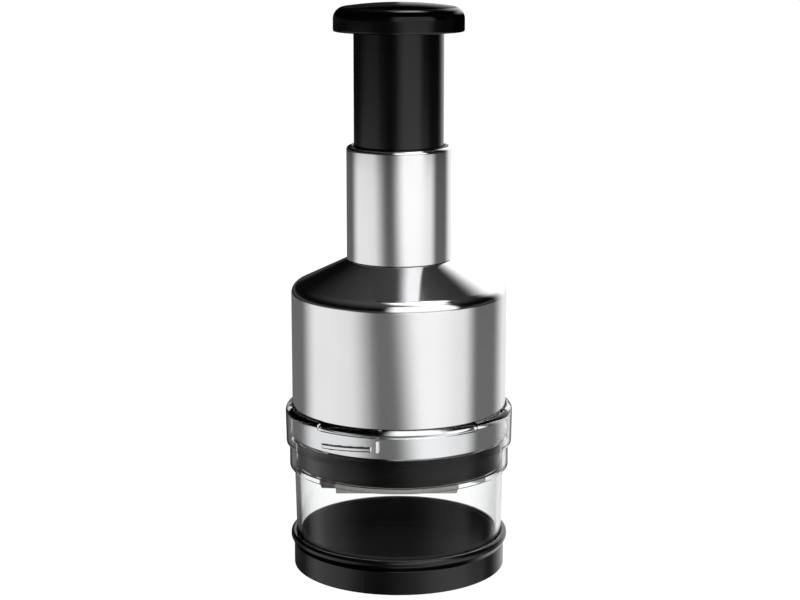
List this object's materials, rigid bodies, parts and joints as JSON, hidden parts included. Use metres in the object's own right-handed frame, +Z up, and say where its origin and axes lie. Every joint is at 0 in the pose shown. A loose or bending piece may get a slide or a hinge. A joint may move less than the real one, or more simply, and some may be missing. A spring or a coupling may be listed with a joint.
{
  "type": "plunger food chopper",
  "caption": "Hand chopper: a sprung plunger in a steel housing drives a folded blade that turns a step at each push, inside a clear twist-lock container closed by a black tray.",
  "frame": {"origin": "centre of the foot ring's face, on the plunger's axis", "axes": "+Z up along the plunger's axis, -Y towards the side seen in front"},
  "size_m": [0.0958, 0.0958, 0.2373],
  "materials": {
    "polished_steel": "polished stainless sheet, mirror-like with a very faint haze",
    "black_plastic": "moulded black, fine matt",
    "spring_steel": "drawn wire and stamped steel, plain",
    "white_acetal": "natural acetal, smooth",
    "satin_black_plastic": "moulded black, satin",
    "gloss_black_plastic": "moulded black, semi-gloss",
    "spindle_steel": "turned stainless rod",
    "blade_steel": "rolled stainless strip with a ground edge",
    "clear_plastic": "clear moulded plastic, polished",
    "tray_plastic": "moulded black, satin",
    "black_rubber": "moulded black rubber, matt"
  },
  "bodies": {
    "housing": {"neck_sleeve": "polished_steel", "housing_shell": "polished_steel", "guide_body": "black_plastic", "neck_bushing": "black_plastic", "spring_seat": "spring_steel", "return_spring": "spring_steel", "index_nut": "white_acetal", "pawl_ring": "black_plastic", "index_cover": "black_plastic", "cover_screws": "spring_steel", "wiper_retainer": "black_plastic"},
    "plunger": {"plunger_stem": "satin_black_plastic", "plunger_knob": "gloss_black_plastic", "spindle_bearing": "white_acetal", "thrust_washer": "spring_steel"},
    "wiper": {"blade_wiper": "black_plastic"},
    "blades": {"spindle": "spindle_steel", "spindle_clip": "spring_steel", "hub_pin": "spindle_steel", "blade_hub": "black_plastic", "zigzag_blade": "blade_steel"},
    "container": {"container": "clear_plastic"},
    "base": {"base_tray": "tray_plastic", "base_seal": "black_rubber", "foot_ring": "black_rubber"}
  },
  "joints": [
    {"name": "plunger_press", "type": "slide", "parent": "housing", "child": "plunger", "axis": [0, 0, -1], "range_m": [0, 0.035], "stiffness_N_per_m": 350, "springref_m": -0.02, "deforming": ["return_spring"]},
    {"name": "blade_index", "type": "hinge", "parent": "housing", "child": "wiper", "pos_m": [0, 0, 0.0486], "axis": [0, 0, -1], "range_deg": [0, 30.5]},
    {"name": "blade_travel", "type": "slide", "parent": "wiper", "child": "blades", "axis": [0, 0, -1], "range_m": [0, 0.0352]},
    {"name": "container_twist", "type": "hinge", "parent": "housing", "child": "container", "pos_m": [0, 0, 0.0624], "axis": [0, 0, 1], "range_deg": [0, 31.5]},
    {"name": "base_pull", "type": "slide", "parent": "container", "child": "base", "axis": [0, 0, -1], "range_m": [0, 0.03]}
  ],
  "couplings": [
    {"joint": "blade_index", "follows": "plunger_press", "rad_per_m": 14.96},
    {"joint": "blade_travel", "follows": "plunger_press", "ratio": 1}
  ]
}
